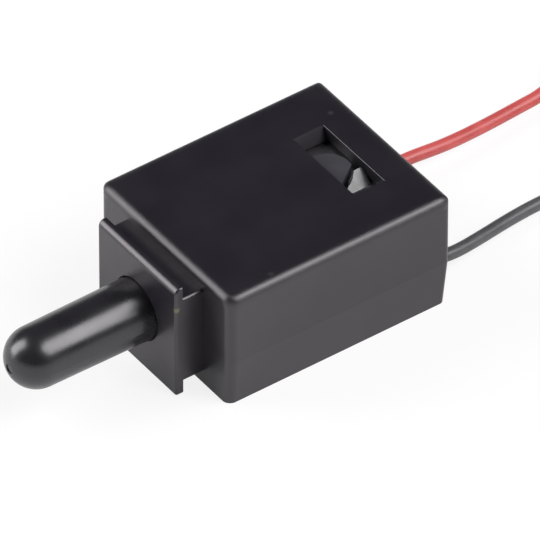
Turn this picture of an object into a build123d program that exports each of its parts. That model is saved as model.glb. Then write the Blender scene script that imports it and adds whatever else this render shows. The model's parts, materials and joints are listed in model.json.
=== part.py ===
from build123d import *
from math import cos, radians, sin, tan
import os

# Plunger door switch: a two-part moulded housing, a nose flange that hooks behind a panel, a long
# round-nosed plunger and two flying leads. All sizes are in millimetres. The origin is at the middle
# of the housing's underside, +Z is up, the plunger points to -Y and the leads leave at +Y.

# Housing
body_length = 25.45
body_width = 20.9
body_height = 13.1
seam_height = 5.2
wall = 1.4
floor_thickness = 1.3
roof_thickness = 1.35
front_corner_radius = 0.9
back_corner_radius = 0.55
inner_corner_radius = 0.4
roof_edge_radius = 0.5
base_draft_deg = 3.6
tongue_height = 0.8
tongue_thickness = 0.6
tongue_root_height = 1.0
snap_length = 4.0
snap_height = 0.4
snap_depth = 0.25
snap_rise = 0.2

# Window in the roof
window_width = 9.8
window_length = 3.5
window_to_back = 3.625
window_end_draft_deg = 28.0
window_back_radius = 0.07

# Nose flange
flange_width = 12.5
flange_thickness = 0.85
flange_standoff = 3.2
flange_edge_radius = 0.25
flange_top_radius = 0.7
groove_depth = 1.45
neck_edge_radius = 0.35
tenon_size = 9.0
retainer_lip = 0.5
retainer_thickness = 1.0
bore_mouth_chamfer = 0.1

# Plunger
plunger_diameter = 6.4
plunger_nose_radius = 3.1
plunger_reach = 14.6
plunger_travel = 5.0
collar_diameter = 8.6
collar_thickness = 1.2
stem_diameter = 5.0
stem_to_bulkhead = 0.75
plunger_bore_depth = 8.8
gate_mark_radius = 0.5
gate_mark_depth = 0.12

# Bulkhead across the base
bulkhead_thickness = 1.2
bulkhead_centre_y = 0.0
bulkhead_to_roof = 1.0
spring_seat_depth = 0.3

# Springs
return_spring_wire = 0.45
return_spring_diameter = 7.0
return_spring_turns = 5
overtravel_spring_wire = 0.3
overtravel_spring_diameter = 2.3
overtravel_spring_turns = 7
contact_spring_wire = 0.3
contact_spring_diameter = 2.4
contact_spring_turns = 4
contact_spring_length = 3.15
wire_sides = 6

# Pusher between the plunger and the contact blade
pusher_diameter = 2.0
pusher_head_diameter = 3.0
pusher_head_length = 1.2
pusher_head_setback = 0.2
pusher_tip_radius = 1.5

# Contact blade, its pin and the contacts
blade_thickness = 0.25
blade_height = 3.0
blade_overhang = 0.9
blade_to_bulkhead = 1.0
eye_wall = 0.3
pin_diameter = 1.0
pin_shoulder_diameter = 1.6
pin_head_height = 0.4
contact_diameter = 1.7
contact_height = 0.3
rivet_shank_diameter = 0.9
rivet_tail_diameter = 1.3
rivet_tail_height = 0.15

# Terminals on the floor of the base
terminal_thickness = 0.3
terminal_width = 3.2
terminal_to_cradle = 0.45
terminal_rise = 1.6
stake_diameter = 1.0
stake_height = 0.9
stake_to_bulkhead = 3.5

# Rib that carries the contact spring
rib_width = 4.0
rib_thickness = 0.9
rib_over_axis = 1.9
spigot_diameter = 1.6
spigot_length = 1.2

# Leads
lead_diameter = 1.3
core_diameter = 0.7
lead_to_wall = 2.55
lead_height = 2.1
lead_inside = 2.1
core_length = 2.0
core_lap = 0.9
solder_radius = 1.0

# Lead clamp under the window
clamp_to_roof = 0.4
clamp_boss_diameter = 5.0
clamp_boss_height = 1.05
clamp_boss_to_window = 0.4
clamp_catch_to_middle = 1.4
clamp_catch_slope_deg = 33.0
clamp_slot_width = 0.5
clamp_slot_to_boss = 2.13
clamp_slot_turn_deg = 36.0
clamp_bridge_thickness = 1.2
clamp_wing_width = 2.6
clamp_slope_deg = 34.0
clamp_side_gap = 0.8
clamp_front_to_window = 0.45
clamp_length = 5.3
clamp_leg_width = 2.4
clamp_leg_length = 1.4

# Put-away coil of the leads, on the floor behind the switch
coil_centre_x = -1.0
coil_centre_y = 46.8
coil_outer_radius = 9.25
coil_inner_radius = 4.7
coil_slack = 0.05
tip_length = 4.2
tip_turn_deg = 25.0
tip_inward_deg = 45.0
tie_width = 2.2
tie_thickness = 0.25

# Clearances
running_clearance = 0.05
seat_clearance = 0.05
window_clearance = 0.1
touch_gap = 0.02

# Places that follow from the sizes above
front = -body_length / 2
back = body_length / 2
inner_width = body_width - 2 * wall
inner_length = body_length - 2 * wall
inner_front = front + wall
inner_back = back - wall
ceiling = body_height - roof_thickness
axis_height = body_height / 2
lead_x = inner_width / 2 - lead_to_wall
flange_front = front - flange_standoff
retainer_back = inner_front + retainer_thickness
retainer_size = tenon_size + 2 * retainer_lip
guide_radius = plunger_diameter / 2 + running_clearance
collar_front = retainer_back + seat_clearance
collar_back = collar_front + collar_thickness
bulkhead_front = bulkhead_centre_y - bulkhead_thickness / 2
stem_back = bulkhead_front - stem_to_bulkhead - plunger_travel
plunger_bore_radius = pusher_head_diameter / 2 + running_clearance
plunger_bore_front = stem_back - plunger_bore_depth
bulkhead_back = bulkhead_centre_y + bulkhead_thickness / 2
bulkhead_top = ceiling - bulkhead_to_roof
spring_seat = bulkhead_front + spring_seat_depth
blade_front = bulkhead_back + blade_to_bulkhead
blade_back = blade_front + blade_thickness
blade_middle = (blade_front + blade_back) / 2
blade_low = axis_height - blade_height / 2
blade_high = axis_height + blade_height / 2
terminal_top = floor_thickness + terminal_thickness
rib_front = blade_back + contact_spring_length
window_back = back - window_to_back
window_front = window_back - window_length
insulation_start = inner_back - lead_inside
core_start = insulation_start - core_length
lead_radius = lead_diameter / 2
coil_ring_height = lead_diameter + 2 * coil_slack
black_coil_low = tie_thickness
red_coil_low = black_coil_low + coil_ring_height
coil_top = red_coil_low + coil_ring_height

# Routes of the leads from the clamp to the coil, as points chosen along the floor
red_route = [
    (-lead_x, insulation_start, lead_height),
    (-lead_x, 14.5, lead_height),
    (-6.60, 20.0, 2.10),
    (-6.35, 24.5, 1.85),
    (-6.80, 29.5, 1.45),
    (-7.20, 34.0, 1.40),
    (-7.25, 37.5, 1.60),
    (-8.30, 41.4, 2.35),
    (-9.60, 46.8, 2.35),
]
black_route = [
    (lead_x, insulation_start, lead_height),
    (lead_x, 14.5, lead_height),
    (6.05, 20.0, 1.55),
    (5.15, 25.6, 1.00),
    (4.85, 32.4, 0.80),
    (6.10, 39.6, 0.90),
    (7.60, 46.8, 0.95),
]


def block(x_span, y_span, z_span):
    """A box between two places along each axis."""
    spans = (x_span, y_span, z_span)
    middle = [(low + high) / 2 for low, high in spans]
    size = [high - low for low, high in spans]
    return Pos(*middle) * Box(*size)


def centred(width, middle=0.0):
    """The two ends of a width about its middle."""
    return (middle - width / 2, middle + width / 2)


def rod(radius, y_span, x=0.0, z=axis_height):
    """A round bar along Y."""
    low, high = y_span
    bar = Cylinder(radius, high - low, align=(Align.CENTER, Align.CENTER, Align.MIN))
    return Pos(x, low, z) * Rot(-90, 0, 0) * bar


def post(radius, z_span, x, y):
    """A round bar along Z."""
    low, high = z_span
    bar = Cylinder(radius, high - low, align=(Align.CENTER, Align.CENTER, Align.MIN))
    return Pos(x, y, low) * bar


def plan(draft):
    """The housing's outline from above, less a draft at the sides and the back, sharper at the back."""
    outline = Pos(0, -draft / 2) * Rectangle(body_width - 2 * draft, body_length - draft)
    outline = fillet(outline.vertices().group_by(Axis.Y)[0], front_corner_radius)
    return fillet(outline.vertices().group_by(Axis.Y)[-1], back_corner_radius)


def inner_prism(inset, z_span):
    """The housing's inside, smaller by an inset all round."""
    low, high = z_span
    outline = RectangleRounded(inner_width - 2 * inset, inner_length - 2 * inset, inner_corner_radius)
    return Pos(0, 0, low) * extrude(outline, high - low)


def coil_spring(mean_diameter, wire, turns, y_span):
    """A wire spring along the plunger's axis between two seats."""
    low, high = y_span
    height = high - low - wire
    path = Helix(height / turns, height, mean_diameter / 2)
    section = Plane(path @ 0, z_dir=path % 0) * RegularPolygon(wire / 2, wire_sides)
    wound = sweep(section, path, is_frenet=True)
    return Pos(0, low + wire / 2, axis_height) * Rot(-90, 0, 0) * wound


def snap_pair(length, height, depth, gap):
    """The two lugs on the tongue, or with a gap the pockets that take them."""
    outer = inner_width / 2 - seat_clearance + depth
    low = seam_height + snap_rise - gap
    z_span = (low, low + height + 2 * gap)
    lugs = [
        block(sorted((side * (outer - 2 * depth), side * outer)), centred(length + 2 * gap), z_span)
        for side in (-1, 1)
    ]
    return lugs[0] + lugs[1]


def tenon_slot():
    """The opening in the front wall that the nose flange's tenon passes through."""
    size = tenon_size + 2 * seat_clearance
    return block(centred(size), (front - wall, inner_front + wall / 2), centred(size, axis_height))


def window_cut():
    """The opening in the roof, with ends that lean inwards."""
    upper = window_width / 2
    lower = upper - roof_thickness * tan(radians(window_end_draft_deg))
    rim = [(-upper, body_height), (upper, body_height), (lower, ceiling), (-lower, ceiling)]
    section = Plane.XZ * make_face(Polyline(*rim, close=True))
    return Pos(0, window_front, 0) * extrude(section, -window_length)


# Top cover with its window
def make_top_cover():
    cover = Pos(0, 0, seam_height) * extrude(plan(0), body_height - seam_height)
    cover = fillet(cover.faces().sort_by(Axis.Z)[-1].edges(), roof_edge_radius)
    cover -= inner_prism(0, (seam_height, ceiling))
    cover -= window_cut()
    rim = cover.faces().sort_by(Axis.Z)[-1].inner_wires()[0].edges()
    cover = fillet(rim.sort_by(Axis.Y)[-1], window_back_radius)
    cover -= tenon_slot()
    return cover - snap_pair(snap_length, snap_height, snap_depth, 2 * seat_clearance)


# Base tray: drafted shell, tongue, bulkhead, spring rib, stakes and lead cradles
def make_base_tray():
    underside = plan(seam_height * tan(radians(base_draft_deg)))
    tray = loft([underside.face(), (Pos(0, 0, seam_height) * plan(0)).face()], ruled=True)
    tray -= inner_prism(0, (floor_thickness, seam_height))

    tongue_top = seam_height + tongue_height
    root = inner_prism(-touch_gap, (seam_height - tongue_root_height, seam_height))
    tongue = root + inner_prism(seat_clearance, (seam_height, tongue_top))
    tongue -= inner_prism(
        seat_clearance + tongue_thickness, (seam_height - tongue_root_height, tongue_top)
    )
    relief = retainer_size + 4 * seat_clearance
    tongue -= block(centred(relief), (front, retainer_back + seat_clearance), (0, body_height))
    tray += tongue
    tray += snap_pair(snap_length, snap_height, snap_depth, 0)

    lower = block(
        centred(inner_width), (bulkhead_front, bulkhead_back), (floor_thickness, seam_height)
    )
    upper = block(
        centred(inner_width - 2 * seat_clearance),
        (bulkhead_front, bulkhead_back),
        (seam_height, bulkhead_top),
    )
    tray += lower + upper
    seat_radius = (return_spring_diameter + return_spring_wire) / 2 + running_clearance
    tray -= rod(seat_radius, (bulkhead_front, spring_seat))
    tray -= rod(pusher_diameter / 2 + running_clearance, (bulkhead_front, bulkhead_back))

    tray += block(
        centred(rib_width),
        (rib_front, rib_front + rib_thickness),
        (floor_thickness, axis_height + rib_over_axis),
    )
    tray += rod(spigot_diameter / 2, (rib_front - spigot_length, rib_front))

    tray -= tenon_slot()
    hole = (inner_back, back)
    leg_y = clamp_leg_span()
    for side in (-1, 1):
        x = side * lead_x
        stake_y = bulkhead_back + stake_to_bulkhead
        tray += post(stake_diameter / 2, (floor_thickness, floor_thickness + stake_height), x, stake_y)
        tray += block(centred(clamp_leg_width, x), leg_y, (floor_thickness, lead_height - touch_gap))
        tray -= rod(lead_radius + touch_gap, leg_y, x, lead_height)
        tray -= rod(lead_radius + running_clearance, hole, x, lead_height)
    return tray


# Nose flange: plate that hooks over a panel at top and bottom, neck, tenon through the front wall, lip
def make_nose_flange():
    plate_back = flange_front + flange_thickness
    plate = block(centred(flange_width), (flange_front, plate_back), (0, body_height))
    plate = fillet(plate.faces().sort_by(Axis.Y)[0].edges().sort_by(Axis.Z)[-1], flange_top_radius)
    outer_faces = plate.faces().sort_by(Axis.X)
    low_edge = plate.faces().sort_by(Axis.Z)[0].edges().sort_by(Axis.Y)[0]
    rear_edges = plate.faces().sort_by(Axis.Y)[-1].edges()
    plate = fillet(
        outer_faces[0].edges() + outer_faces[-1].edges() + [low_edge] - rear_edges, flange_edge_radius
    )
    neck_outline = RectangleRounded(flange_width, body_height - 2 * groove_depth, neck_edge_radius)
    neck = Pos(0, plate_back, axis_height) * Rot(-90, 0, 0) * extrude(neck_outline, front - plate_back)
    tenon = block(centred(tenon_size), (front, inner_front), centred(tenon_size, axis_height))
    lip = block(
        centred(retainer_size), (inner_front, retainer_back), centred(retainer_size, axis_height)
    )
    nose = plate + neck + tenon + lip
    nose -= rod(guide_radius, (flange_front, retainer_back))
    mouth = nose.faces().sort_by(Axis.Y)[0].inner_wires()[0].edges()
    return chamfer(mouth, bore_mouth_chamfer)


# Plunger: round nose, slight taper, stop collar, stem and the bore that holds the pusher
def make_plunger():
    tip = flange_front - plunger_reach
    shoulder = tip + plunger_nose_radius
    radius = plunger_diameter / 2
    nose = CenterArc((0, shoulder), plunger_nose_radius, -90, 90)
    outline = Polyline(
        (plunger_nose_radius, shoulder),
        (radius, flange_front),
        (radius, collar_front),
        (collar_diameter / 2, collar_front),
        (collar_diameter / 2, collar_back),
        (stem_diameter / 2, collar_back),
        (stem_diameter / 2, stem_back),
        (plunger_bore_radius, stem_back),
        (plunger_bore_radius, plunger_bore_front),
        (0, plunger_bore_front),
        (0, tip),
    )
    body = Pos(0, 0, axis_height) * revolve(make_face([nose, outline]), Axis.Y)
    return body - rod(gate_mark_radius, (tip, tip + gate_mark_depth + touch_gap))


# Pusher: headed pin with a domed end on the contact blade
def make_pusher_pin():
    head_back = stem_back - pusher_head_setback
    head_front = head_back - pusher_head_length
    tip = blade_front - touch_gap
    radius = pusher_diameter / 2
    sagitta = pusher_tip_radius - (pusher_tip_radius**2 - radius**2) ** 0.5
    dome = RadiusArc((radius, tip - sagitta), (0, tip), -pusher_tip_radius)
    outline = Polyline(
        (0, tip),
        (0, head_front),
        (pusher_head_diameter / 2, head_front),
        (pusher_head_diameter / 2, head_back),
        (radius, head_back),
        (radius, tip - sagitta),
    )
    return Pos(0, 0, axis_height) * revolve(make_face([dome, outline]), Axis.Y)


# Contact blade with a rolled eye round its pin
def make_contact_blade():
    eye_inner = pin_diameter / 2 + running_clearance
    strip_end = lead_x + blade_overhang
    strip = Pos((strip_end - lead_x) / 2, 0) * Rectangle(strip_end + lead_x, blade_thickness)
    eye = Pos(-lead_x, 0) * Circle(eye_inner + eye_wall)
    outline = strip + eye - Pos(-lead_x, 0) * Circle(eye_inner)
    blade = Pos(0, blade_middle, blade_low) * extrude(outline, blade_height)
    blade = fillet(blade.edges().filter_by(Axis.Y).group_by(Axis.X)[-1], blade_height / 3)
    return blade - rod(rivet_shank_diameter / 2, (blade_front, blade_back), lead_x)


# Rivet on the blade that closes on the fixed contact
def make_moving_contact():
    head = rod(contact_diameter / 2, (blade_front - contact_height, blade_front), lead_x)
    shank = rod(rivet_shank_diameter / 2, (blade_front, blade_back), lead_x)
    tail = rod(rivet_tail_diameter / 2, (blade_back, blade_back + rivet_tail_height), lead_x)
    return head + shank + tail


# Rivet in the closed terminal
def make_fixed_contact():
    plate_back = bulkhead_back + terminal_thickness
    head_back = blade_front - contact_height - touch_gap
    shank = rod(rivet_shank_diameter / 2, (bulkhead_back, plate_back), lead_x)
    return shank + rod(contact_diameter / 2, (plate_back, head_back), lead_x)


# Pin that the blade turns on, with a shoulder under the blade and a head over it
def make_pivot_pin():
    x, y = -lead_x, blade_middle
    pin_radius, wide_radius = pin_diameter / 2, pin_shoulder_diameter / 2
    shoulder_top = blade_low - running_clearance
    head_low = blade_high + running_clearance
    pin = post(pin_radius, (floor_thickness, head_low), x, y)
    pin += post(wide_radius, (terminal_top, shoulder_top), x, y)
    return pin + post(wide_radius, (head_low, head_low + pin_head_height), x, y)


def terminal_foot(x):
    """The strip on the floor of the base, staked down, with the lead soldered to its end."""
    y_span = (bulkhead_back, clamp_leg_span()[0] - terminal_to_cradle)
    foot = block(centred(terminal_width, x), y_span, (floor_thickness, terminal_top))
    hole = stake_diameter / 2 + seat_clearance
    return foot - post(hole, (floor_thickness, terminal_top), x, bulkhead_back + stake_to_bulkhead)


# Terminal that carries the blade's pin
def make_common_terminal():
    hole = pin_diameter / 2 + touch_gap
    return terminal_foot(-lead_x) - post(hole, (floor_thickness, terminal_top), -lead_x, blade_middle)


# Terminal that carries the fixed contact
def make_closed_terminal():
    plate = block(
        centred(terminal_width, lead_x),
        (bulkhead_back, bulkhead_back + terminal_thickness),
        (floor_thickness, axis_height + terminal_rise),
    )
    hole = rod(rivet_shank_diameter / 2, (bulkhead_back, blade_front), lead_x)
    return terminal_foot(lead_x) + plate - hole


def clamp_leg_span():
    """Where the clamp's legs and the cradles under them stand along the leads."""
    end = window_front - clamp_front_to_window + clamp_length
    return (end - clamp_leg_length, end)


def clamp_catch(low, high):
    """The half-round boss and the sloping catch that stand up in the window, with a slot between."""
    boss_y = window_front + clamp_boss_to_window
    boss = post(clamp_boss_diameter / 2, (low, high), 0, boss_y)
    foot = clamp_catch_to_middle + (high - low) / tan(radians(clamp_catch_slope_deg))
    slope = [(clamp_catch_to_middle, low), (clamp_catch_to_middle, high), (foot, low)]
    section = Plane.XZ * make_face(Polyline(*slope, close=True))
    catch = Pos(0, window_front, 0) * extrude(section, -window_length)
    slot = Pos(clamp_slot_to_boss, 0, 0) * Box(clamp_slot_width, 2 * clamp_boss_diameter, high - low)
    slot = Pos(0, boss_y, (low + high) / 2) * Rot(0, 0, clamp_slot_turn_deg) * slot
    y_span = (window_front + window_clearance, window_back - window_clearance)
    return (boss + catch - slot) & block(centred(window_width), y_span, (low, high))


# Lead clamp: bridge with sloping wings, boss and catch in the window, two legs on the leads
def make_lead_clamp():
    low_y = window_front - clamp_front_to_window
    flat_top = ceiling - clamp_to_roof
    half_width = inner_width / 2 - clamp_side_gap
    half_flat = half_width - clamp_wing_width
    drop = clamp_wing_width * tan(radians(clamp_slope_deg))
    drop_under = clamp_bridge_thickness / cos(radians(clamp_slope_deg))
    over = [(-half_width, flat_top - drop), (-half_flat, flat_top), (half_flat, flat_top),
            (half_width, flat_top - drop)]
    under = [(x, z - drop_under) for x, z in reversed(over)]
    section = Plane.XZ * make_face(Polyline(*over, *under, close=True))
    clamp = Pos(0, low_y, 0) * extrude(section, -clamp_length)
    clamp += clamp_catch(flat_top, flat_top + clamp_boss_height)
    above = Plane.XZ * make_face(
        Polyline(*over, (half_width, body_height), (-half_width, body_height), close=True)
    )
    leg_y = clamp_leg_span()
    for side in (-1, 1):
        x = side * lead_x
        leg = block(centred(clamp_leg_width, x), leg_y, (lead_height, flat_top))
        leg -= Pos(0, low_y, 0) * extrude(above, -clamp_length)
        clamp += leg
        clamp -= rod(lead_radius + touch_gap, leg_y, x, lead_height)
    return clamp


def make_core(x):
    """The stripped end of a lead on its terminal."""
    return rod(core_diameter / 2, (core_start, insulation_start), x, lead_height)


def make_solder(x):
    """A dome of solder over the core's end."""
    dome = Pos(x, core_start + core_lap, terminal_top) * Sphere(solder_radius)
    dome -= block(centred(4 * solder_radius, x), (front, back), (0, terminal_top))
    return dome - make_core(x)


def largest_radii(points):
    """The largest bend at each point that the runs beside it leave room for."""
    radii = []
    for before, here, after in zip(points, points[1:], points[2:]):
        run_in, run_out = Vector(*here) - Vector(*before), Vector(*after) - Vector(*here)
        turn = radians(run_in.get_angle(run_out))
        radii.append(0.45 * min(run_in.length, run_out.length) / tan(turn / 2))
    return radii


def make_lead(points):
    """The insulated lead from the clamp to its coil."""
    radii = largest_radii(points)
    path = FilletPolyline(*points, radius=radii)
    section = Plane(path @ 0, z_dir=path % 0) * Circle(lead_radius)
    tube = sweep(section, path)
    print("lead: length %.1f, volume ratio %.4f, smallest bend %.1f"
          % (path.length, tube.volume / (path.length * section.area), min(radii)))
    return tube


def coil_ring(low):
    """The outer shape of one lead's turns, a flat ring."""
    z_span = (low, low + coil_ring_height)
    ring = post(coil_outer_radius, z_span, coil_centre_x, coil_centre_y)
    return ring - post(coil_inner_radius, z_span, coil_centre_x, coil_centre_y)


def make_tip(side, low):
    """The bare tinned end of a lead, inside its coil: side +1 winds to the left, -1 to the right."""
    start = radians(180 if side > 0 else 0) + side * radians(tip_turn_deg)
    outward = Vector(cos(start), sin(start))
    along = Vector(-side * sin(start), side * cos(start))
    heading = along * cos(radians(tip_inward_deg)) - outward * sin(radians(tip_inward_deg))
    centre = Vector(coil_centre_x, coil_centre_y, low + coil_ring_height / 2)
    from_point = centre + outward * (coil_inner_radius + core_diameter / 2)
    bar = Cylinder(core_diameter / 2, tip_length, align=(Align.CENTER, Align.CENTER, Align.MIN))
    return Plane(from_point, z_dir=heading) * bar - coil_ring(low)


# Tie round both coils
def make_coil_tie():
    reach = (coil_inner_radius - tie_thickness, coil_outer_radius + tie_thickness)
    y_span = [coil_centre_y + radius for radius in reach]
    band = block(centred(tie_width, coil_centre_x), y_span, (0, coil_top + tie_thickness))
    return band - coil_ring(black_coil_low) - coil_ring(red_coil_low)


red_coil = coil_ring(red_coil_low)
black_coil = coil_ring(black_coil_low)
overtravel_seat = stem_back - pusher_head_setback - pusher_head_length
parts = {
    "top_cover": make_top_cover(),
    "base_tray": make_base_tray(),
    "nose_flange": make_nose_flange(),
    "plunger": make_plunger(),
    "return_spring": coil_spring(
        return_spring_diameter, return_spring_wire, return_spring_turns, (collar_back, spring_seat)
    ),
    "overtravel_spring": coil_spring(
        overtravel_spring_diameter,
        overtravel_spring_wire,
        overtravel_spring_turns,
        (plunger_bore_front, overtravel_seat),
    ),
    "pusher_pin": make_pusher_pin(),
    "contact_blade": make_contact_blade(),
    "moving_contact": make_moving_contact(),
    "pivot_pin": make_pivot_pin(),
    "contact_spring": coil_spring(
        contact_spring_diameter, contact_spring_wire, contact_spring_turns, (blade_back, rib_front)
    ),
    "common_terminal": make_common_terminal(),
    "closed_terminal": make_closed_terminal(),
    "fixed_contact": make_fixed_contact(),
    "lead_clamp": make_lead_clamp(),
    "red_lead": make_lead(red_route) - red_coil - black_coil,
    "black_lead": make_lead(black_route) - black_coil,
    "red_core": make_core(-lead_x),
    "black_core": make_core(lead_x),
    "red_solder": make_solder(-lead_x),
    "black_solder": make_solder(lead_x),
    "red_coil": red_coil,
    "black_coil": black_coil,
    "red_tip": make_tip(-1, red_coil_low),
    "black_tip": make_tip(1, black_coil_low),
    "coil_tie": make_coil_tie(),
}

os.makedirs("parts", exist_ok=True)
for name, shape in parts.items():
    export_step(shape, f"parts/{name}.step")
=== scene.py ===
import json
import math

import bmesh
import bpy
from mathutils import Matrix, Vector


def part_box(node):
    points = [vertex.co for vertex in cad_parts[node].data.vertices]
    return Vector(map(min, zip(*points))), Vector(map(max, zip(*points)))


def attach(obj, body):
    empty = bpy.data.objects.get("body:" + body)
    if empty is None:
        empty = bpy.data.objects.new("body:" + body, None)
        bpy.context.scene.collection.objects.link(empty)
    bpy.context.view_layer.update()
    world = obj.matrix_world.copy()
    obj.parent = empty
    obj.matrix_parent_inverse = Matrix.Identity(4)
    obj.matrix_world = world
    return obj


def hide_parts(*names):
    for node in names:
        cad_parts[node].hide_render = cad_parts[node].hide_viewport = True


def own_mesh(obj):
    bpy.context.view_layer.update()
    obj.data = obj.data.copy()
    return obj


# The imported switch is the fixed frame: metres, +Z up, the plunger points to -Y, the leads leave at +Y
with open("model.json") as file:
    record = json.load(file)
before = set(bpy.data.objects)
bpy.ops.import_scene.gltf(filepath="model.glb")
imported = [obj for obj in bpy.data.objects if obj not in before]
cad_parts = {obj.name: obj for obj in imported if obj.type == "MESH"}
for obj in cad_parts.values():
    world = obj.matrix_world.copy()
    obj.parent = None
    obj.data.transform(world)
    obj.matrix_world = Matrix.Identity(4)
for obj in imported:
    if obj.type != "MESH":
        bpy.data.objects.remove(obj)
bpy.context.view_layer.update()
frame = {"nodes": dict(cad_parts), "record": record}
nodes = frame["nodes"]
MM = 0.001
ACROSS = Vector((1.0, 0.0, 0.0))
UP = Vector((0.0, 0.0, 1.0))

# Camera, from the photograph: a long lens, so that parallel edges stay parallel
VIEW_AZIMUTH = math.radians(54.24)
VIEW_ELEVATION = math.radians(41.45)
VIEW_DISTANCE = 1.5
VIEW_CENTRE = Vector((0.0, 0.0, 0.0064))
CLIP_FACTOR = 10
PHOTO_SIZE = 540
PIXELS_PER_METRE = 10650
CENTRE_PIXEL = (275.06, 243.75)
SENSOR_MM = 36.0

# Leads: each route runs from the clamp inside the housing to the coil, near the route of the solid, with
# its points moved so that the lead follows the photograph
LEAD_DIAMETER = 0.0013
LEAD_ROUNDNESS = 6
LEAD_SMOOTHNESS = 10
RED_ROUTE = [
    (-0.00650, 0.009225, 0.00210),
    (-0.00650, 0.01450, 0.00210),
    (-0.00660, 0.02000, 0.00210),
    (-0.00635, 0.02450, 0.00176),
    (-0.00680, 0.02950, 0.00133),
    (-0.00720, 0.03400, 0.00122),
    (-0.00725, 0.03650, 0.00132),
    (-0.00778, 0.03960, 0.00208),
    (-0.00885, 0.04310, 0.00235),
    (-0.00960, 0.04680, 0.00235),
]
BLACK_ROUTE = [
    (0.00650, 0.009225, 0.00210),
    (0.00650, 0.01340, 0.00210),
    (0.00655, 0.01620, 0.00168),
    (0.00595, 0.01960, 0.00136),
    (0.00520, 0.02340, 0.00105),
    (0.00470, 0.02740, 0.00080),
    (0.00485, 0.03300, 0.00075),
    (0.00610, 0.03960, 0.00090),
    (0.00760, 0.04680, 0.00095),
]
RED_SIDE = -1
BLACK_SIDE = 1

# Put-away coil of each lead: a flat spiral that ends in a bare tip inside it
COIL_CENTRE = Vector((-0.001, 0.0468, 0.0))
COIL_OUTER = 0.0086
COIL_TURNS = 2.5
POINTS_PER_TURN = 24
RED_COIL_HEIGHT = RED_ROUTE[-1][2]
BLACK_COIL_HEIGHT = BLACK_ROUTE[-1][2]

# Bare tip of each lead: strands round a middle one, cut to lengths that differ a little
TIP_RADIUS = 0.00505
TIP_TURN = math.radians(25)
TIP_INWARD = math.radians(45)
TIP_LENGTH = 0.0042
STRANDS_ROUND = 6
STRAND_DIAMETER = 0.00023
STRAND_LAY = 0.0032
STRAND_LENGTHS = 3
STRAND_STAGGER = 0.03
STRAND_STEPS = 24
STRAND_SIDES = 8

# Tie round both coils: a ribbon with a wire along its middle, its two ends twisted together
RIBBON_HALF_WIDTH = 0.00110
RIBBON_HALF_DEPTH = 0.00006
RIDGE_HALF_WIDTH = 0.00030
RIDGE_HALF_DEPTH = 0.00014
TIE_TOP = [
    (-RIBBON_HALF_WIDTH, RIBBON_HALF_DEPTH),
    (-RIDGE_HALF_WIDTH, RIBBON_HALF_DEPTH),
    (0.0, RIDGE_HALF_DEPTH),
    (RIDGE_HALF_WIDTH, RIBBON_HALF_DEPTH),
    (RIBBON_HALF_WIDTH, RIBBON_HALF_DEPTH),
]
TIE_SECTION = [(wide, -deep) for wide, deep in TIE_TOP] + [(-wide, deep) for wide, deep in TIE_TOP]
TIE_GAP = 0.00015
TIE_AT_TURN = 0.25
TIE_CORNER_STEPS = 6
TAIL_RADIUS = 0.0070
TAIL_SWEEP = math.radians(56)
TAIL_TURNS = 2.75
TAIL_STEPS = 66
TAIL_WIDTH = 0.75
TAIL_RISE = 0.0006
TAIL_RISEN_AT = 0.25

# Springs: each has its fixed end along Y and the share of its length that is left when pressed
AXIS_HEIGHT = 0.00655
SPRINGS = {
    "return_coil_spring": {
        "body": "housing",
        "node": "return_spring",
        "mean_diameter": 0.007,
        "wire": 0.00045,
        "turns": 5,
        "fixed_end": -0.0003,
        "shortest": 0.430,
    },
    "overtravel_coil_spring": {
        "body": "plunger",
        "node": "overtravel_spring",
        "mean_diameter": 0.0023,
        "wire": 0.0003,
        "turns": 7,
        "fixed_end": -0.01515,
        "shortest": 0.392,
    },
    "contact_coil_spring": {
        "body": "housing",
        "node": "contact_spring",
        "mean_diameter": 0.0024,
        "wire": 0.0003,
        "turns": 4,
        "fixed_end": 0.005,
        "shortest": 0.805,
    },
}
STEPS_PER_TURN = 40
WIRE_SIDES = 12

# Edges sharper than this stay sharp on the meshes made here
SHARP_ANGLE = math.radians(50)

# Backdrop: the share of plain white in what the floor shows to each kind of ray
BACKDROP_WHITE = {"Is Camera Ray": 0.85, "Is Glossy Ray": 0.36, "Is Transmission Ray": 0.85}
PAPER_COLOUR = (0.92, 0.92, 0.92)
PAPER_ROUGHNESS = 0.9
FLOOR_HALF_SIZE = 6.0
FLOOR_CELLS = 8
FLOOR_DROP = 0.00002

# Studio: the sky's colour at two heights, and two soft lamps that face the switch
SKY = [(0.0, (1.0, 1.0, 1.0)), (0.2, (0.026, 0.023, 0.032))]
LAMP_DISTANCE = 0.5
LAMPS = {
    "key_softbox": {"direction": (0.504, 0.431, 0.749), "width": 0.35, "height": 0.35, "power": 2.8},
    "fill_softbox": {"direction": (-0.58, -0.66, 0.50), "width": 0.26, "height": 0.48, "power": 2.6},
}

# Marks that the photograph shows, as places and radii in millimetres
NICK = (9.4, -7.25, 13.1)
DUST = (-5.9, 10.7, 13.1)
MARK_RADIUS = 0.4
FLANGE_FLECK = (6.1, -15.7, 10.6)
FLECK_RADIUS = 0.42

# Top rim of the housing, rubbed soft: where it starts and is full, from the middle of the part
RIM_ACROSS = (8.7, 9.1)
RIM_ALONG = (11.0, 11.4)
RIM_END = (13.2, 13.6)
RIM_HEIGHT = (11.7, 12.1)
RIM_SOFTNESS = 1.4
EDGE_SAMPLES = 8

# Height in millimetres over which the clamp goes from its floor's colour to its top's: painted light,
# the top painted lighter where the light catches it
CLAMP_PAINTED_LIGHT_HEIGHT = (11.6, 12.3)

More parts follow.
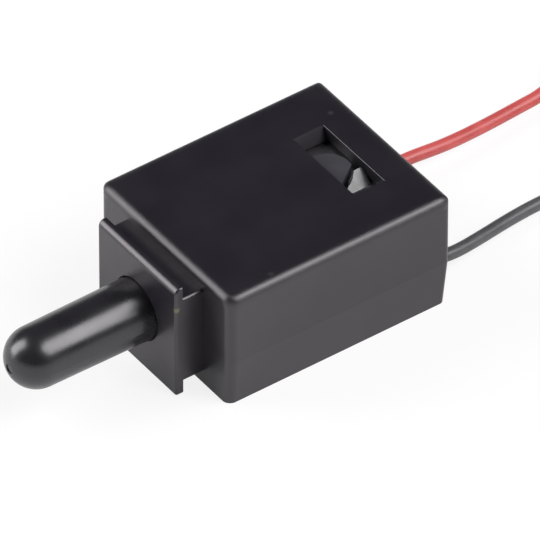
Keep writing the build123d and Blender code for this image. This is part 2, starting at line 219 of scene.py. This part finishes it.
# Colours: a dull and a bright one for each mottled surface, and those of marks
HOUSING_COLOURS = ((0.0115, 0.0106, 0.0143), (0.0153, 0.0142, 0.0182))
PLUNGER_COLOURS = ((0.0125, 0.0118, 0.0145), (0.0160, 0.0152, 0.0180))
# The clamp's two colours are painted light: the top lighter where the light catches it, the floor lifted
# above black for light that the recess lacks
CLAMP_PAINTED_LIT_COLOURS = ((0.046, 0.046, 0.053), (0.056, 0.056, 0.065))
CLAMP_FLOOR_PAINTED_LIGHT_COLOUR = (0.034, 0.034, 0.039)
PUSHER_COLOURS = ((0.70, 0.69, 0.64), (0.78, 0.77, 0.73))
RED_COLOURS = ((0.50, 0.076, 0.072), (0.58, 0.098, 0.093))
BLACK_COLOURS = ((0.072, 0.071, 0.076), (0.092, 0.091, 0.098))
STEEL_COLOURS = ((0.46, 0.47, 0.49), (0.60, 0.61, 0.63))
BRASS_COLOURS = ((0.62, 0.47, 0.22), (0.74, 0.59, 0.31))
BRONZE_COLOURS = ((0.60, 0.38, 0.22), (0.71, 0.48, 0.30))
SILVER_COLOURS = ((0.76, 0.75, 0.71), (0.86, 0.85, 0.83))
TINNED_COLOURS = ((0.62, 0.60, 0.56), (0.76, 0.75, 0.73))
SOLDER_COLOURS = ((0.58, 0.58, 0.57), (0.72, 0.72, 0.71))
TIE_COLOURS = ((0.02, 0.02, 0.022), (0.055, 0.053, 0.052))
DUST_COLOUR = (0.030, 0.028, 0.031)
FLECK_COLOUR = (0.13, 0.125, 0.055)
HOUSING_TINT = (1.0, 0.94, 0.99, 1.0)
PLUNGER_TINT = (0.985, 0.965, 1.0, 1.0)

# Stretch of the patterns along the axes: below 1, a pattern runs along that axis
FLOW_STRETCH = (1.0, 0.25, 1.0)
DRAWN_STRETCH = (1.0, 0.06, 1.0)
FIBRE_STRETCH = (1.0, 0.3, 0.3)
ROLLED_STRETCH = (0.1, 1.0, 1.0)
NO_STRETCH = (1.0, 1.0, 1.0)


def camera():
    """The photograph's camera."""
    across = math.cos(VIEW_ELEVATION)
    towards = Vector((
        math.sin(VIEW_AZIMUTH) * across,
        -math.cos(VIEW_AZIMUTH) * across,
        math.sin(VIEW_ELEVATION),
    ))
    right = Vector((math.cos(VIEW_AZIMUTH), math.sin(VIEW_AZIMUTH), 0.0))
    up = towards.cross(right)
    offset_right = (CENTRE_PIXEL[0] - PHOTO_SIZE / 2) / PIXELS_PER_METRE
    offset_up = (PHOTO_SIZE / 2 - CENTRE_PIXEL[1]) / PIXELS_PER_METRE
    target = VIEW_CENTRE - right * offset_right - up * offset_up
    data = bpy.data.cameras.new("photo_camera")
    data.sensor_width = SENSOR_MM
    data.lens = SENSOR_MM * PIXELS_PER_METRE * VIEW_DISTANCE / PHOTO_SIZE
    data.clip_start = VIEW_DISTANCE / CLIP_FACTOR
    data.clip_end = VIEW_DISTANCE * CLIP_FACTOR
    item = bpy.data.objects.new("photo_camera", data)
    bpy.context.collection.objects.link(item)
    item.location = target + towards * VIEW_DISTANCE
    face_along(item, -towards)
    bpy.context.scene.camera = item


def face_along(item, direction):
    """Turns a camera or a lamp so that it looks along a direction."""
    item.rotation_mode = "QUATERNION"
    item.rotation_quaternion = direction.to_track_quat("-Z", "Y")


class Surface:
    """A Principled material whose colour, roughness and relief are patterns set out in millimetres."""

    def __init__(self, name, **constants):
        self.material = bpy.data.materials.new(name)
        self.material.use_nodes = True
        self.tree = self.material.node_tree
        self.shader = self.tree.nodes["Principled BSDF"]
        for socket, value in constants.items():
            self.shader.inputs[socket.replace("_", " ")].default_value = value
        place = self.node("ShaderNodeTexCoord").outputs["Object"]
        scale = self.node("ShaderNodeVectorMath", operation="SCALE")
        scale.inputs["Scale"].default_value = 1 / MM
        self.link(place, scale.inputs[0])
        self.place = scale.outputs["Vector"]

    def node(self, kind, **settings):
        """A new node with its settings."""
        made = self.tree.nodes.new(kind)
        for key, value in settings.items():
            setattr(made, key, value)
        return made

    def link(self, source, target):
        """A link from one socket to another."""
        self.tree.links.new(source, target)

    def stretched(self, factors):
        """The place, stretched along the axes, for patterns that run one way."""
        made = self.node("ShaderNodeVectorMath", operation="MULTIPLY")
        made.inputs[1].default_value = factors
        self.link(self.place, made.inputs[0])
        return made.outputs["Vector"]

    def noise(self, per_mm, detail=2.0, place=None):
        """A cloudy pattern, with so many clouds to a millimetre."""
        made = self.node("ShaderNodeTexNoise")
        made.inputs["Scale"].default_value = per_mm
        made.inputs["Detail"].default_value = detail
        self.link(place or self.place, made.inputs["Vector"])
        return made.outputs["Fac"]

    def cells(self, per_mm):
        """The distance to the nearest of scattered points."""
        made = self.node("ShaderNodeTexVoronoi")
        made.inputs["Scale"].default_value = per_mm
        self.link(self.place, made.inputs["Vector"])
        return made.outputs["Distance"]

    def spread(self, value, low, high, start=0.3, stop=0.7):
        """A value mapped from start..stop to low..high."""
        made = self.node("ShaderNodeMapRange", interpolation_type="SMOOTHSTEP")
        settings = {"From Min": start, "From Max": stop, "To Min": low, "To Max": high}
        for socket, number in settings.items():
            made.inputs[socket].default_value = number
        self.link(value, made.inputs["Value"])
        return made.outputs["Result"]

    def spot(self, centre, radius):
        """1 inside a small ball about a point in millimetres, fading to 0 at its edge."""
        made = self.node("ShaderNodeVectorMath", operation="DISTANCE")
        made.inputs[1].default_value = centre
        self.link(self.place, made.inputs[0])
        return self.spread(made.outputs["Value"], low=1, high=0, start=radius / 3, stop=radius)

    def along(self, axis):
        """The place along one axis, in millimetres."""
        made = self.node("ShaderNodeSeparateXYZ")
        self.link(self.place, made.inputs[0])
        return made.outputs[axis]

    def size_of(self, value):
        """A value without its sign."""
        made = self.node("ShaderNodeMath", operation="ABSOLUTE")
        self.link(value, made.inputs[0])
        return made.outputs["Value"]

    def combined(self, operation, *values):
        """Several values put together by one operation."""
        total = values[0]
        for value in values[1:]:
            made = self.node("ShaderNodeMath", operation=operation)
            self.link(total, made.inputs[0])
            self.link(value, made.inputs[1])
            total = made.outputs["Value"]
        return total

    def mixed(self, kind, share, first, second):
        """Two colours or two vectors, linked or constant, mixed by a share."""
        made = self.node("ShaderNodeMix", data_type=kind)
        self.link(share, made.inputs["Factor"])
        for name, value in (("A", first), ("B", second)):
            target = [s for s in made.inputs if s.name == name and s.type == kind][0]
            if isinstance(value, bpy.types.NodeSocket):
                self.link(value, target)
            else:
                target.default_value = (*value, 1.0)
        return [s for s in made.outputs if s.type == kind][0]

    def blend(self, share, first, second):
        """Two colours mixed by a share."""
        return self.mixed("RGBA", share, first, second)

    def mottled(self, pattern, colours):
        """A dull and a bright colour mixed by a pattern."""
        return self.blend(self.spread(pattern, low=0, high=1), *colours)

    def softened(self, share, radius_mm):
        """The surface's direction, with its edges rounded off in the shading by a share."""
        worn = self.node("ShaderNodeBevel", samples=EDGE_SAMPLES)
        worn.inputs["Radius"].default_value = radius_mm * MM
        plain = self.node("ShaderNodeNewGeometry")
        return self.mixed("VECTOR", share, plain.outputs["Normal"], worn.outputs["Normal"])

    def colour(self, socket):
        """Takes the base colour from a socket."""
        self.link(socket, self.shader.inputs["Base Color"])

    def roughness(self, socket):
        """Takes the roughness from a socket."""
        self.link(socket, self.shader.inputs["Roughness"])

    def relief(self, *layers, over=None):
        """Bump layers, each a height, its depth in millimetres and its strength."""
        normal = over
        for height, depth_mm, strength in layers:
            made = self.node("ShaderNodeBump")
            made.inputs["Distance"].default_value = depth_mm * MM
            made.inputs["Strength"].default_value = strength
            self.link(height, made.inputs["Height"])
            if normal is not None:
                self.link(normal, made.inputs["Normal"])
            normal = made.outputs["Normal"]
        self.link(normal, self.shader.inputs["Normal"])


def top_rim(made):
    """1 along the top rim of the housing and 0 elsewhere."""
    beside = made.spread(made.size_of(made.along("X")), 0, 1, *RIM_ACROSS)
    ahead = made.spread(made.size_of(made.along("Y")), 0, 1, *RIM_ALONG)
    body = made.spread(made.size_of(made.along("Y")), 1, 0, *RIM_END)
    high = made.spread(made.along("Z"), 0, 1, *RIM_HEIGHT)
    return made.combined("MULTIPLY", body, high, made.combined("MAXIMUM", beside, ahead))


def housing_plastic():
    """Satin black moulding: fine spark texture, rubbed patches, a little dust."""
    made = Surface("housing_plastic", IOR=1.64, Specular_Tint=HOUSING_TINT)
    patches = made.noise(per_mm=0.16, detail=3.0)
    grain = made.noise(per_mm=11.0, detail=3.0)
    flow = made.noise(per_mm=0.5, place=made.stretched(FLOW_STRETCH))
    points = made.spread(made.cells(per_mm=0.55), low=1, high=0, start=0.03, stop=0.07)
    where = made.spread(patches, low=0, high=0.35, start=0.5, stop=0.7)
    specks = made.combined("MULTIPLY", points, where)
    marks = made.combined("MAXIMUM", specks, made.spot(DUST, MARK_RADIUS), made.spot(NICK, MARK_RADIUS))
    dusty = made.blend(marks, made.mottled(patches, HOUSING_COLOURS), DUST_COLOUR)
    made.colour(made.blend(made.spot(FLANGE_FLECK, FLECK_RADIUS), dusty, FLECK_COLOUR))
    made.roughness(made.spread(flow, low=0.335, high=0.36))
    rounded = made.softened(top_rim(made), RIM_SOFTNESS)
    made.relief((grain, 0.003, 0.2), (flow, 0.01, 0.02), over=rounded)
    return made.material


def plunger_plastic():
    """Polished black acetal with faint drawing lines along its length."""
    made = Surface("plunger_plastic", IOR=1.62, Specular_Tint=PLUNGER_TINT)
    drawn = made.noise(per_mm=1.6, place=made.stretched(DRAWN_STRETCH))
    haze = made.noise(per_mm=0.35, detail=3.0)
    made.colour(made.mottled(haze, PLUNGER_COLOURS))
    made.roughness(made.spread(haze, low=0.25, high=0.31))
    made.relief((drawn, 0.003, 0.02), (made.noise(per_mm=9.0), 0.002, 0.02))
    return made.material


def clamp_plastic():
    """The moulding under the window, with painted light: its top painted lighter where the light catches
    it, the floor round it painted a dark grey above black for light that the recess lacks.
    """
    made = Surface("clamp_plastic", IOR=1.62)
    # Painted light: the top is painted lighter where the light catches it, the floor below is a lifted
    # dark grey
    painted_lit_top = made.mottled(made.noise(per_mm=0.4, detail=3.0), CLAMP_PAINTED_LIT_COLOURS)
    height = made.spread(made.along("Z"), 0, 1, *CLAMP_PAINTED_LIGHT_HEIGHT)
    made.colour(made.blend(height, CLAMP_FLOOR_PAINTED_LIGHT_COLOUR, painted_lit_top))
    made.roughness(made.spread(made.noise(per_mm=2.0), low=0.30, high=0.36))
    made.relief((made.noise(per_mm=8.0, detail=3.0), 0.004, 0.3))
    return made.material


def pusher_plastic():
    """Natural acetal."""
    made = Surface("pusher_plastic", IOR=1.48)
    made.colour(made.mottled(made.noise(per_mm=0.6, detail=3.0), PUSHER_COLOURS))
    made.roughness(made.spread(made.noise(per_mm=1.5), low=0.28, high=0.38))
    made.relief((made.noise(per_mm=7.0), 0.003, 0.2))
    return made.material


def insulation(name, colours, roughness):
    """Soft vinyl over stranded wire: the lay of the strands shows as a faint wave."""
    made = Surface(name, IOR=1.5)
    cloud = made.noise(per_mm=0.5, detail=3.0)
    wave = made.noise(per_mm=1.3, detail=1.0)
    made.colour(made.mottled(cloud, colours))
    made.roughness(made.spread(cloud, low=roughness, high=roughness + 0.08))
    made.relief((wave, 0.03, 0.2), (made.noise(per_mm=12.0), 0.004, 0.2))
    return made.material


def metal(name, colours, roughness, stretch=NO_STRETCH):
    """Metal with cloudy tarnish and fine lines along its working direction."""
    made = Surface(name, Metallic=1.0)
    cloud = made.noise(per_mm=0.8, detail=4.0)
    lines = made.noise(per_mm=9.0, place=made.stretched(stretch))
    made.colour(made.mottled(cloud, colours))
    made.roughness(made.spread(cloud, low=roughness, high=roughness + 0.12))
    made.relief((lines, 0.003, 0.3))
    return made.material


def tie_plastic():
    """Black paper-backed tie, with the paper's fibres."""
    made = Surface("tie_plastic", IOR=1.45)
    fibres = made.noise(per_mm=6.0, detail=4.0, place=made.stretched(FIBRE_STRETCH))
    made.colour(made.mottled(fibres, TIE_COLOURS))
    made.roughness(made.spread(fibres, low=0.55, high=0.75))
    made.relief((fibres, 0.012, 0.4))
    return made.material


MATERIALS = {
    "housing_plastic": housing_plastic(),
    "plunger_plastic": plunger_plastic(),
    "clamp_plastic": clamp_plastic(),
    "pusher_plastic": pusher_plastic(),
    "red_insulation": insulation("red_insulation", RED_COLOURS, roughness=0.36),
    "black_insulation": insulation("black_insulation", BLACK_COLOURS, roughness=0.34),
    "spring_steel": metal("spring_steel", STEEL_COLOURS, roughness=0.24),
    "terminal_brass": metal("terminal_brass", BRASS_COLOURS, roughness=0.26, stretch=ROLLED_STRETCH),
    "blade_bronze": metal("blade_bronze", BRONZE_COLOURS, roughness=0.24, stretch=ROLLED_STRETCH),
    "contact_silver": metal("contact_silver", SILVER_COLOURS, roughness=0.18),
    "tinned_copper": metal("tinned_copper", TINNED_COLOURS, roughness=0.26),
    "solder": metal("solder", SOLDER_COLOURS, roughness=0.20),
    "tie_plastic": tie_plastic(),
}


def dress(item, slot):
    """Gives a piece the material of a slot."""
    item.data.materials.clear()
    item.data.materials.append(MATERIALS[slot])


def dress_nodes():
    """Gives each solid the material of its slot."""
    for part in frame["record"]["subparts"]:
        dress(nodes[part["node"]], part["material_slot"])


def add_piece(name, data, body, slot, *stands_for):
    """A new piece that rides on a body, has a slot's material and stands for solids."""
    item = bpy.data.objects.new(name, data)
    bpy.context.collection.objects.link(item)
    dress(item, slot)
    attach(item, body)
    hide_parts(*stands_for)
    return item


def polar(radius, angle, height):
    """A point about the middle of the coil."""
    return COIL_CENTRE + Vector((radius * math.cos(angle), radius * math.sin(angle), height))


def tip_start(side, height):
    """Where a lead's insulation ends inside its coil, and which way it then points."""
    angle = (math.pi if side > 0 else 0.0) + side * TIP_TURN
    outward = Vector((math.cos(angle), math.sin(angle), 0.0))
    along = Vector((-outward.y, outward.x, 0.0)) * side
    heading = along * math.cos(TIP_INWARD) - outward * math.sin(TIP_INWARD)
    return polar(TIP_RADIUS, angle, height), heading


def coil_points(side, height):
    """The turns of a lead from the outside in: side +1 winds to the left, -1 to the right."""
    first = 0.0 if side > 0 else math.pi
    points = []
    for step in range(1, int(COIL_TURNS * POINTS_PER_TURN) + 1):
        turn = step / POINTS_PER_TURN
        radius = COIL_OUTER - turn * LEAD_DIAMETER
        points.append(polar(radius, first + side * turn * math.tau, height))
    end, heading = tip_start(side, height)
    points.append(end - heading * LEAD_DIAMETER)
    points.append(end)
    return points


def make_lead(colour, route, side):
    """A lead as one smooth curve, from the clamp through its coil to its bare tip."""
    name = f"{colour}_flying_lead"
    points = [Vector(p) for p in route] + coil_points(side, route[-1][2])
    data = bpy.data.curves.new(name, "CURVE")
    data.dimensions = "3D"
    data.bevel_depth = LEAD_DIAMETER / 2
    data.bevel_resolution = LEAD_ROUNDNESS
    data.resolution_u = LEAD_SMOOTHNESS
    data.use_fill_caps = True
    spline = data.splines.new("NURBS")
    spline.points.add(len(points) - 1)
    for point, place in zip(spline.points, points):
        point.co = (*place, 1.0)
    spline.order_u = 3
    spline.use_endpoint_u = True
    lead = add_piece(name, data, "housing", f"{colour}_insulation", f"{colour}_lead", f"{colour}_coil")


def skin(rings, mesh, closed=False):
    """Faces from each ring of corners to the next, with the two ends capped or joined."""
    pairs = list(zip(rings, rings[1:]))
    if closed:
        pairs.append((rings[-1], rings[0]))
    else:
        mesh.faces.new(list(reversed(rings[0])))
        mesh.faces.new(rings[-1])
    for one, two in pairs:
        for corner in range(len(one)):
            beside = (corner + 1) % len(one)
            mesh.faces.new((one[corner], one[beside], two[beside], two[corner]))


def tube(points, radius, sides, mesh):
    """A closed tube along points, added to a bmesh."""
    rings = []
    last = len(points) - 1
    for index, place in enumerate(points):
        along = points[min(index + 1, last)] - points[max(index - 1, 0)]
        if index == 0:
            side_way = along.orthogonal().normalized()
        side_way = (side_way - along * side_way.dot(along) / along.length_squared).normalized()
        up_way = along.cross(side_way).normalized()
        ring = []
        for corner in range(sides):
            turn = math.tau * corner / sides
            outward = side_way * math.cos(turn) + up_way * math.sin(turn)
            ring.append(mesh.verts.new(place + radius * outward))
        rings.append(ring)
    skin(rings, mesh)


def finish_mesh(name, mesh):
    """A bmesh as smooth mesh data with its faces turned outwards."""
    bmesh.ops.recalc_face_normals(mesh, faces=mesh.faces)
    data = bpy.data.meshes.new(name)
    mesh.to_mesh(data)
    mesh.free()
    data.shade_smooth()
    data.set_sharp_from_angle(angle=SHARP_ANGLE)
    return data


def make_tip(colour, side, height):
    """The bare end of a lead: tinned strands twisted round a middle one."""
    start, heading = tip_start(side, height)
    across = heading.cross(UP).normalized()
    upward = across.cross(heading).normalized()
    mesh = bmesh.new()
    for strand in range(STRANDS_ROUND + 1):
        reach = TIP_LENGTH * (1 - STRAND_STAGGER * (strand % STRAND_LENGTHS))
        offset = 0.0 if strand == STRANDS_ROUND else STRAND_DIAMETER
        points = []
        for step in range(STRAND_STEPS + 1):
            distance = reach * step / STRAND_STEPS
            turn = math.tau * (strand / STRANDS_ROUND + distance / STRAND_LAY)
            outward = across * math.cos(turn) + upward * math.sin(turn)
            points.append(start + heading * distance + offset * outward)
        tube(points, STRAND_DIAMETER / 2, STRAND_SIDES, mesh)
    name = f"{colour}_tip_strands"
    return add_piece(name, finish_mesh(name, mesh), "housing", "tinned_copper", f"{colour}_tip")


def band(stations, width, mesh, closed):
    """A tie ribbon through stations, each a place with the ways of its width and its depth."""
    rings = []
    for place, wide, deep in stations:
        rings.append([mesh.verts.new(place + wide * width * a + deep * b) for a, b in TIE_SECTION])
    skin(rings, mesh, closed)


def tie_loop():
    """Stations round the turns of both coils, where they pass behind the middle of the coil."""
    inner = COIL_OUTER - (COIL_TURNS - TIE_AT_TURN) * LEAD_DIAMETER - TIE_GAP / 2
    outer = COIL_OUTER - TIE_AT_TURN * LEAD_DIAMETER
    radius = LEAD_DIAMETER / 2 + TIE_GAP
    low, high = BLACK_COIL_HEIGHT, RED_COIL_HEIGHT
    corners = [(outer, high), (inner, high), (inner, low), (outer, low)]
    stations = []
    for quarter, (reach, height) in enumerate(corners):
        middle = COIL_CENTRE + Vector((0.0, reach, height))
        for step in range(TIE_CORNER_STEPS + 1):
            turn = math.pi / 2 * (quarter + step / TIE_CORNER_STEPS)
            outward = Vector((0.0, math.cos(turn), math.sin(turn)))
            stations.append((middle + outward * radius, ACROSS, outward))
    return stations


def tie_tail(side):
    """Stations of one of the two ends, which twist round each other and lie along the coil's top."""
    top = RED_COIL_HEIGHT + LEAD_DIAMETER / 2 + TIE_GAP
    stations = []
    for step in range(TAIL_STEPS + 1):
        share = step / TAIL_STEPS
        angle = math.pi / 2 + TAIL_SWEEP * share
        outward = Vector((math.cos(angle), math.sin(angle), 0.0))
        rise = TAIL_RISE * math.sin(math.pi / 2 * min(1.0, share / TAIL_RISEN_AT))
        turn = math.tau * TAIL_TURNS * share
        wide = outward * math.cos(turn) + UP * math.sin(turn)
        deep = UP * math.cos(turn) - outward * math.sin(turn)
        place = polar(TAIL_RADIUS, angle, top + TIE_GAP + rise) + deep * side * TIE_GAP / 2
        stations.append((place, wide, deep))
    return stations


def make_tie():
    """The twist tie that holds both coils."""
    mesh = bmesh.new()
    band(tie_loop(), 1.0, mesh, closed=True)
    for side in (-1, 1):
        band(tie_tail(side), TAIL_WIDTH, mesh, closed=False)
    name = "coil_twist_tie"
    return add_piece(name, finish_mesh(name, mesh), "housing", "tie_plastic", "coil_tie")


def make_spring(name, body, node, mean_diameter, wire, turns, fixed_end, shortest):
    """A wire spring between its seats."""
    low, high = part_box(node)
    length = high.y - low.y - wire
    points = []
    for step in range(turns * STEPS_PER_TURN + 1):
        turn = step / STEPS_PER_TURN
        angle = turn * math.tau
        points.append(Vector((
            math.cos(angle) * mean_diameter / 2,
            low.y + wire / 2 + length * turn / turns,
            AXIS_HEIGHT - math.sin(angle) * mean_diameter / 2,
        )))
    mesh = bmesh.new()
    tube(points, wire / 2, WIRE_SIDES, mesh)
    spring = add_piece(name, finish_mesh(name, mesh), body, "spring_steel", node)
    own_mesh(spring)


def white_floor():
    """White paper: seen or mirrored it is nearly plain white, with the shadow left faint."""
    material = bpy.data.materials.new("white_floor")
    material.use_nodes = True
    tree = material.node_tree
    paper = tree.nodes["Principled BSDF"]
    paper.inputs["Base Color"].default_value = (*PAPER_COLOUR, 1.0)
    paper.inputs["Roughness"].default_value = PAPER_ROUGHNESS
    paper.inputs["Specular IOR Level"].default_value = 0.0
    glow = tree.nodes.new("ShaderNodeEmission")
    ray = tree.nodes.new("ShaderNodeLightPath")
    mixed = tree.nodes.new("ShaderNodeMixShader")
    total = None
    for kind, white in BACKDROP_WHITE.items():
        share = tree.nodes.new("ShaderNodeMath")
        share.operation = "MULTIPLY_ADD"
        share.inputs[1].default_value = white
        share.inputs[2].default_value = 0.0
        tree.links.new(ray.outputs[kind], share.inputs[0])
        if total is not None:
            tree.links.new(total, share.inputs[2])
        total = share.outputs["Value"]
    tree.links.new(total, mixed.inputs["Fac"])
    tree.links.new(paper.outputs["BSDF"], mixed.inputs[1])
    tree.links.new(glow.outputs["Emission"], mixed.inputs[2])
    tree.links.new(mixed.outputs["Shader"], tree.nodes["Material Output"].inputs["Surface"])
    return material


def make_floor():
    """A plain white floor that keeps the switch's shadow."""
    mesh = bmesh.new()
    bmesh.ops.create_grid(mesh, x_segments=FLOOR_CELLS, y_segments=FLOOR_CELLS, size=FLOOR_HALF_SIZE)
    data = bpy.data.meshes.new("floor")
    mesh.to_mesh(data)
    mesh.free()
    floor = bpy.data.objects.new("floor", data)
    bpy.context.collection.objects.link(floor)
    floor.location = (0, 0, -FLOOR_DROP)
    data.materials.append(white_floor())


def make_world():
    """A dim studio: pale near the horizon, dark overhead."""
    world = bpy.data.worlds.new("studio")
    world.use_nodes = True
    bpy.context.scene.world = world
    tree = world.node_tree
    place = tree.nodes.new("ShaderNodeTexCoord")
    split = tree.nodes.new("ShaderNodeSeparateXYZ")
    ramp = tree.nodes.new("ShaderNodeValToRGB")
    for stop, (height, colour) in zip(ramp.color_ramp.elements, SKY):
        stop.position = height
        stop.color = (*colour, 1.0)
    tree.links.new(place.outputs["Generated"], split.inputs[0])
    tree.links.new(split.outputs["Z"], ramp.inputs["Fac"])
    tree.links.new(ramp.outputs["Color"], tree.nodes["Background"].inputs["Color"])


def softbox(name, direction, width, height, power):
    """A soft white lamp that faces the switch from a direction."""
    data = bpy.data.lights.new(name, "AREA")
    data.shape = "RECTANGLE"
    data.size = width
    data.size_y = height
    data.energy = power
    item = bpy.data.objects.new(name, data)
    bpy.context.collection.objects.link(item)
    away = Vector(direction).normalized()
    item.location = VIEW_CENTRE + away * LAMP_DISTANCE
    face_along(item, -away)


camera()
red_tip = make_tip("red", RED_SIDE, RED_COIL_HEIGHT)
black_tip = make_tip("black", BLACK_SIDE, BLACK_COIL_HEIGHT)
tie = make_tie()
make_lead("red", RED_ROUTE, RED_SIDE)
make_lead("black", BLACK_ROUTE, BLACK_SIDE)
for spring_name, spring in SPRINGS.items():
    make_spring(spring_name, **spring)
dress_nodes()
make_floor()
make_world()
for lamp_name, lamp in LAMPS.items():
    softbox(lamp_name, **lamp)
bpy.context.scene.view_settings.view_transform = "Standard"
